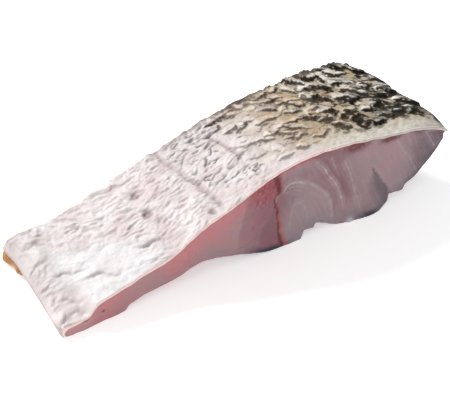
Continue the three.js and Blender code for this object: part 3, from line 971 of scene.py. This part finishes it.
fleshLook = {
    "grey": (0.31, 0.222, 0.234), "greyCool": (0.265, 0.218, 0.244), "rosy": (0.455, 0.178, 0.188),
    "pale": (0.52, 0.42, 0.43), "dark": (0.21, 0.10, 0.115), "mauve": (0.235, 0.07, 0.095),
    "blood": (0.12, 0.01, 0.016), "bloodRim": (0.42, 0.10, 0.08), "crimson": (0.31, 0.048, 0.06),
    # shadedRecess is painted shade in the hollow and under the back's undercut
    "shadedRecess": (0.115, 0.085, 0.105), "navy": (0.02, 0.024, 0.042), "greyRim": (0.225, 0.185, 0.215),
    # the drop tone is a painted highlight on the droplet
    "fat": (0.27, 0.12, 0.04), "fatPale": (0.38, 0.20, 0.08), "drop": (0.55, 0.56, 0.60),
    "dry": 0.42, "wet": 0.26,
    "shares": {  # of each mask's tone, from below up
        "rosy": 1.0, "greyRim": 0.55, "mauve": 0.8, "dark": 1.0, "shadedRecess": 0.95, "navy": 0.95,
        "pale": 1.0, "crimson": 0.9, "bloodRim": 0.7, "blood": 0.95, "drop": 0.9,
    },
}


def fleshMaterial(film, drift):
    look = fleshLook
    material, tree, shader = newMaterial("rawFlesh")
    colour = mottled(tree, drift, look, "grey", "greyCool", 85.0, 0.8)
    colour = layered(tree, colour, look, [(name, name, amount) for name, amount in look["shares"].items()])
    fat = mottled(tree, drift, look, "fat", "fatPale", 260.0, 1.0)
    colour = blendOver(tree, maskNode(tree, "fat"), colour, fat)
    wet = place(tree, film, Dry=look["dry"], Wet=look["wet"], Patch_Scale=70.0, Grain_Scale=700.0)
    feed(tree, shader.inputs["Base Color"], colour)
    feed(tree, shader.inputs["Roughness"], wet["Roughness"])
    feed(tree, shader.inputs["Normal"], bumpNode(tree, wet["Grain"], 0.3, 0.0003))
    shader.inputs["Specular IOR Level"].default_value = 0.25
    shader.inputs["Subsurface Weight"].default_value = 0.25
    shader.inputs["Subsurface Radius"].default_value = (1.0, 0.45, 0.35)
    shader.inputs["Subsurface Scale"].default_value = 0.0025
    print("material: rawFlesh")
    return material


# Stage: pale floor, soft light, camera

stage = {
    "floorSize": 3.0, "floorColour": (0.93, 0.93, 0.93), "floorGlow": 0.4, "world": 0.5,
    "key": {"at": (-0.3, 0.8, 0.72), "size": 0.4, "watts": 17.0},
    "fill": {"at": (-0.7, -0.6, 0.7), "size": 0.9, "watts": 3.0},
}
view = {
    "azimuth": -32.5, "elevation": 36.3, "distance": 0.568, "lens": 110.0,
    "target": (-0.0043, -0.0020, 0.0137),
}


def makeFloor():
    half = stage["floorSize"] / 2
    mesh = bpy.data.meshes.new("floor")
    corners = [(-half, -half, 0), (half, -half, 0), (half, half, 0), (-half, half, 0)]
    mesh.from_pydata(corners, [], [(0, 1, 2, 3)])
    floor = bpy.data.objects.new("floor", mesh)
    bpy.context.scene.collection.objects.link(floor)
    material, tree, shader = newMaterial("paleFloor")
    shader.inputs["Base Color"].default_value = (*stage["floorColour"], 1)
    shader.inputs["Roughness"].default_value = 0.9
    shader.inputs["Specular IOR Level"].default_value = 0.1
    shader.inputs["Emission Color"].default_value = (1, 1, 1, 1)
    shader.inputs["Emission Strength"].default_value = stage["floorGlow"]
    mesh.materials.append(material)


def makeLight(name):
    spec = stage[name]
    lamp = bpy.data.lights.new(name, "AREA")
    lamp.shape, lamp.size, lamp.energy = "DISK", spec["size"], spec["watts"]
    light = bpy.data.objects.new(name, lamp)
    light.location = spec["at"]
    light.rotation_euler = (-Vector(spec["at"])).to_track_quat("-Z", "Y").to_euler()
    bpy.context.scene.collection.objects.link(light)


def makeCamera():
    azimuth, elevation = math.radians(view["azimuth"]), math.radians(view["elevation"])
    flat = math.cos(elevation)
    back = Vector((math.sin(azimuth) * flat, -math.cos(azimuth) * flat, math.sin(elevation)))
    lens = bpy.data.cameras.new("camera")
    lens.lens, lens.sensor_width, lens.sensor_fit = view["lens"], 36, "HORIZONTAL"
    lens.clip_start, lens.clip_end = 0.01, 20
    camera = bpy.data.objects.new("camera", lens)
    camera.location = Vector(view["target"]) + back * view["distance"]
    camera.rotation_euler = (-back).to_track_quat("-Z", "Y").to_euler()
    bpy.context.scene.collection.objects.link(camera)
    bpy.context.scene.camera = camera


def makeStage():
    makeFloor()
    makeLight("key")
    makeLight("fill")
    world = bpy.data.worlds.new("studio")
    bpy.context.scene.world = world
    world.use_nodes = True
    sky = world.node_tree.nodes["Background"]
    sky.inputs["Color"].default_value = (1, 1, 1, 1)
    sky.inputs["Strength"].default_value = stage["world"]
    bpy.context.scene.view_settings.view_transform = "Standard"
    makeCamera()
    print("stage: floor, lights and camera")


makeStage()
moistGroup, mottleGroup = moistFilm(), mottle()

skin = buildSkin()
skin.data.materials.append(skinMaterial(moistGroup, mottleGroup))
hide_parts("skin")

flesh = buildFlesh()
flesh.data.materials.append(fleshMaterial(moistGroup, mottleGroup))
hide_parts("flesh")

bpy.context.view_layer.update()
